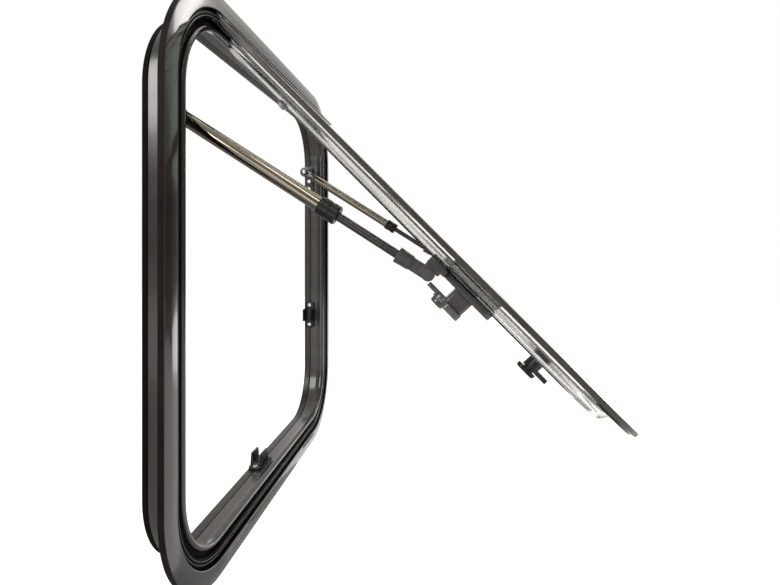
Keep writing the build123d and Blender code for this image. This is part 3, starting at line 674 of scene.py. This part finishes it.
SIDE_EDGES = {"stay_eye": 0.6, "stay_fitting": 0.6, "stay_bracket": 0.5, "keeper": 0.5,
              "latch_base": 0.9, "latch_hub": 0.9, "latch_grip": 0.9}
BOTTOM_EDGES = {"latch_base": 0.6, "latch_hub": 0.6, "latch_grip": 0.6, "keeper": 0.5}
HINGE_EDGE = 0.25
for side, _ in SIDES:
    for part, width in SIDE_EDGES.items():
        soften(f"{side}_{part}", width)
for part, width in BOTTOM_EDGES.items():
    soften(f"bottom_{part}", width)
soften("hinge_profile", HINGE_EDGE, segments=2)

# screws, and the riveted ends of the bracket pins

KEEPER_SCREWS, KEEPER_Y = (-16.5, 16.5), 20.0
BRACKET_SCREWS, BRACKET_BACK = (-14.0, -27.0), 3.4          # below and outside the pivot
RIVET = [(0, 1.0), (2.0, 0.85), (3.3, 0.35), (3.7, -0.2), (0, -0.2)]
for side, sx in SIDES:
    jamb_x = sx * (WIDTH / 2 - LINING_INSET - FOOT_T)
    pin_x = sx * (WIDTH / 2 - LINING_INSET - PIN_END)
    inward = (-sx, 0, 0)
    lathe(f"{side}_pin_rivet", RIVET, (pin_x, PIVOT_Y, PIVOT_Z), inward, "zinc", "frame", segments=32)
    for k, dz in enumerate(KEEPER_SCREWS):
        place = (jamb_x, KEEPER_Y, HINGE_Z - SIDE_LATCH_S + dz)
        screw(f"{side}_keeper_screw_{k}", place, inward, "frame")
    for k, dz in enumerate(BRACKET_SCREWS):
        place = (jamb_x, PIVOT_Y - BRACKET_BACK, PIVOT_Z + dz)
        screw(f"{side}_bracket_screw_{k}", place, inward, "frame")
for k, x in enumerate(KEEPER_SCREWS):
    place = (x, KEEPER_Y, ZB + LINING_INSET + FOOT_T)
    screw(f"bottom_keeper_screw_{k}", place, (0, 0, 1), "frame")

# vent plugs on the tray, near the hinge

VENT_X, VENT_S = 222.0, 117.0
PLUG = [(0, 2.8), (2.4, 2.8), (2.9, 2.3), (2.9, 1.5), (4.2, 1.5), (4.5, 1.1), (4.5, -0.2), (0, -0.2)]
for side, sx in SIDES:
    place = on_sash(sx * VENT_X, VENT_S, TRAY_IN) / MM
    lathe(f"{side}_vent_plug", PLUG, place, -SASH_OUT, "plug", "sash", segments=36)

# lamps: their patches on the rails are what the photograph's studio shows there

LAMP_COLOUR = (1, 0.975, 0.94)


def area(name, place, target, width, height, watts):
    """A rectangular lamp turned towards a target."""
    lamp = bpy.data.lights.new(name, "AREA")
    lamp.shape = "RECTANGLE"
    lamp.size, lamp.size_y = width, height
    lamp.energy, lamp.color = watts, LAMP_COLOUR
    obj = bpy.data.objects.new(name, lamp)
    bpy.context.scene.collection.objects.link(obj)
    obj.location = place
    obj.rotation_euler = (Vector(target) - Vector(place)).to_track_quat("-Z", "Y").to_euler()


area("overhead", (0.5, -0.5, 2.4), (0, -0.1, 0.25), width=1.8, height=1.8, watts=10)
area("key", (1.60, -1.38, 1.66), (-0.1, -0.05, 0.35), width=0.8, height=0.6, watts=9)
area("side_box", (-1.38, 0.76, 1.16), (-0.25, 0.01, 0.44), width=0.8, height=0.95, watts=14)
area("low_box", (2.0, -1.35, -0.29), (-0.25, 0.0, 0.21), width=0.8, height=0.40, watts=3.4)
area("fill_box", (-1.5, 0.42, 0.25), (0.2, 0.0, 0.28), width=0.36, height=1.1, watts=1.6)
area("strip", (-1.32, -0.40, 1.47), (-0.22, -0.05, 0.38), width=0.12, height=1.2, watts=2.5)


def math_node(nt, operation, first, second):
    """A sum on two values, each an output or a number."""
    node = nt.nodes.new("ShaderNodeMath")
    node.operation = operation
    for socket, value in zip(node.inputs, (first, second)):
        if isinstance(value, (int, float)):
            socket.default_value = value
        else:
            nt.links.new(value, socket)
    return node.outputs[0]


UNDER_ONE, UNDER_TWO = 0.5, 1.5                 # bounds on the number of reflections


def straight_view(nt):
    """A value of 1 on rays that reach the camera with no reflection, also through clear sheets."""
    path = nt.nodes.new("ShaderNodeLightPath").outputs
    direct = math_node(nt, "MAXIMUM", path["Is Camera Ray"], path["Is Transmission Ray"])
    unreflected = math_node(nt, "LESS_THAN", path["Glossy Depth"], UNDER_ONE)
    return math_node(nt, "MULTIPLY", direct, unreflected)


# world: straight views show plain white, and reflections show a strength that changes with direction
# along an axis: where the change starts and ends, and the strength before and after it

WORLD_COLOUR = (1, 0.965, 0.92, 1)
ACROSS = ("X", -0.3, 0.6, 0.3, 0.65)            # dim on the camera's side
OVERHEAD = ("Z", 0.36, 0.60, 1.0, 1.7)
INDOORS = ("Y", -0.15, 0.25, 1.0, 0.85)
BACKDROP_X = ("X", 0.82, 0.92, 0.0, 1.0)        # white backdrop behind the window
BACKDROP_Y = ("Y", -0.30, -0.05, 0.0, 1.0)


def studio_world():
    """The white studio round the window."""
    world = bpy.data.worlds.new("studio")
    world.use_nodes = True
    nt = world.node_tree
    nt.nodes.clear()
    out = nt.nodes.new("ShaderNodeOutputWorld")
    mix = nt.nodes.new("ShaderNodeMixShader")
    seen = nt.nodes.new("ShaderNodeBackground")
    seen.inputs[0].default_value = (1, 1, 1, 1)
    lit = nt.nodes.new("ShaderNodeBackground")
    lit.inputs[0].default_value = WORLD_COLOUR
    coord = nt.nodes.new("ShaderNodeTexCoord")
    split = nt.nodes.new("ShaderNodeSeparateXYZ")
    nt.links.new(coord.outputs["Generated"], split.inputs[0])

    def change(axis, start, end, before, after):
        node = nt.nodes.new("ShaderNodeMapRange")
        node.interpolation_type = "SMOOTHSTEP"
        settings = {"From Min": start, "From Max": end, "To Min": before, "To Max": after}
        for label, value in settings.items():
            node.inputs[label].default_value = value
        nt.links.new(split.outputs[axis], node.inputs["Value"])
        return node.outputs[0]

    across_up = math_node(nt, "MULTIPLY", change(*ACROSS), change(*OVERHEAD))
    graded = math_node(nt, "MULTIPLY", across_up, change(*INDOORS))
    backdrop = math_node(nt, "MULTIPLY", change(*BACKDROP_X), change(*BACKDROP_Y))
    nt.links.new(math_node(nt, "MAXIMUM", graded, backdrop), lit.inputs[1])
    nt.links.new(straight_view(nt), mix.inputs[0])
    nt.links.new(lit.outputs[0], mix.inputs[1])
    nt.links.new(seen.outputs[0], mix.inputs[2])
    nt.links.new(mix.outputs[0], out.inputs[0])
    return world


bpy.context.scene.world = studio_world()

# floor and studio cards

FLOOR_Z, FLOOR_HALF = -0.42, 6
FLOOR_TONES = (0.80, 0.82)
SEEN_LIFT, MIRROR_LIFT = 0.65, 0.42             # glow of the floor in straight views and in reflections
CARD_GLOW_COLOUR = (0.9, 1.0, 0.9, 1)
CARD_TONE_SPREAD = 1.1


def stage_sheet(name, corners):
    """A flat sheet that isn't part of the window."""
    mesh = bpy.data.meshes.new(name)
    mesh.from_pydata(corners, [], [(0, 1, 2, 3)])
    mesh.materials.append(materials[name])
    obj = bpy.data.objects.new(name, mesh)
    bpy.context.scene.collection.objects.link(obj)
    return obj


def level(x0, x1, y0, y1, z):
    """Corners of a level sheet."""
    return [(x0, y0, z), (x1, y0, z), (x1, y1, z), (x0, y1, z)]


def upright(x0, x1, y, z0, z1):
    """Corners of an upright sheet across Y."""
    return [(x0, y, z0), (x1, y, z0), (x1, y, z1), (x0, y, z1)]


def stage_material(name, low, high):
    """A dull grey surface."""
    nt, bsdf = new_material(name)
    nt.links.new(ramp(nt, noise(nt, STAGE_SCALE), grey(low), grey(high)), bsdf.inputs["Base Color"])
    bsdf.inputs["Roughness"].default_value = STAGE_ROUGH
    bsdf.inputs["Specular IOR Level"].default_value = 0.0
    return nt, bsdf


def floor_material(name):
    """Pale floor; the camera sees it lifted to white, less the object's shadow."""
    nt, bsdf = stage_material(name, *FLOOR_TONES)
    glow = nt.nodes.new("ShaderNodeEmission")
    add = nt.nodes.new("ShaderNodeAddShader")
    path = nt.nodes.new("ShaderNodeLightPath").outputs
    first_mirror = math_node(nt, "LESS_THAN", path["Glossy Depth"], UNDER_TWO)
    mirrored = math_node(nt, "MULTIPLY", path["Is Glossy Ray"], first_mirror)
    lift = math_node(nt, "ADD", math_node(nt, "MULTIPLY", straight_view(nt), SEEN_LIFT),
                     math_node(nt, "MULTIPLY", mirrored, MIRROR_LIFT))
    nt.links.new(lift, glow.inputs["Strength"])
    nt.links.new(bsdf.outputs[0], add.inputs[0])
    nt.links.new(glow.outputs[0], add.inputs[1])
    nt.links.new(add.outputs[0], nt.nodes["Material Output"].inputs[0])


def card_material(name, tone, glow):
    """A studio card that only reflections show; straight views pass through it."""
    nt, bsdf = stage_material(name, tone, tone * CARD_TONE_SPREAD)
    bsdf.inputs["Emission Color"].default_value = CARD_GLOW_COLOUR
    bsdf.inputs["Emission Strength"].default_value = glow
    mix = nt.nodes.new("ShaderNodeMixShader")
    nt.links.new(straight_view(nt), mix.inputs[0])
    nt.links.new(bsdf.outputs[0], mix.inputs[1])
    nt.links.new(nt.nodes.new("ShaderNodeBsdfTransparent").outputs[0], mix.inputs[2])
    nt.links.new(mix.outputs[0], nt.nodes["Material Output"].inputs[0])


floor_material("floor")
stage_sheet("floor", level(-FLOOR_HALF, FLOOR_HALF, -FLOOR_HALF, FLOOR_HALF, FLOOR_Z))

# two grey cards on the floor, a dark and a pale green one outside the window: name, tone, glow, corners
CARD_LIFT = 0.01
CARD_Z = FLOOR_Z + CARD_LIFT
FLAG_EDGE = 0.84                                # where the two cards on the floor meet
CARD_END = 2.8
CARDS = (
    ("floor_flag", 0.4, 0.0, level(-2, FLAG_EDGE, -0.42, 2, CARD_Z)),
    ("back_flag", 0.3, 0.0, level(FLAG_EDGE, FLOOR_HALF, 0.35, 5, CARD_Z)),
    ("side_flag", 0.05, 0.0, upright(0.4, CARD_END, -1.2, 0.06, 0.57)),
    ("pale_card", 0.05, 1.7, upright(0.8, CARD_END, -1.25, 0.60, 1.2)),
)
for name, tone, glow, corners in CARDS:
    card_material(name, tone, glow)
    card = stage_sheet(name, corners)
    card.visible_camera = card.visible_diffuse = card.visible_shadow = False

# the photograph's camera: focal length and centre of view in pixels of its frame

PHOTO_W, PHOTO_H = 780.0, 585.0
FOCAL_PX, CENTRE_X, CENTRE_Y = 521.8, 339.9, 241.8
SENSOR_W = 36.0
CAMERA_PLACE = (-0.6308, -0.2174, 0.3013)
TURN_DEG = 11.94                                # from the X axis towards the caravan's inside
CLIP_START = 0.01
camera = bpy.data.cameras.new("camera")
camera.lens = SENSOR_W * FOCAL_PX / PHOTO_W
camera.shift_x = (PHOTO_W / 2 - CENTRE_X) / PHOTO_W
camera.shift_y = (CENTRE_Y - PHOTO_H / 2) / PHOTO_W
camera.clip_start = CLIP_START
cam = bpy.data.objects.new("camera", camera)
bpy.context.scene.collection.objects.link(cam)
cam.location = CAMERA_PLACE
cam.rotation_euler = (math.pi / 2, 0, math.radians(TURN_DEG - 90.0))
bpy.context.scene.camera = cam
bpy.context.scene.view_settings.view_transform = "Standard"
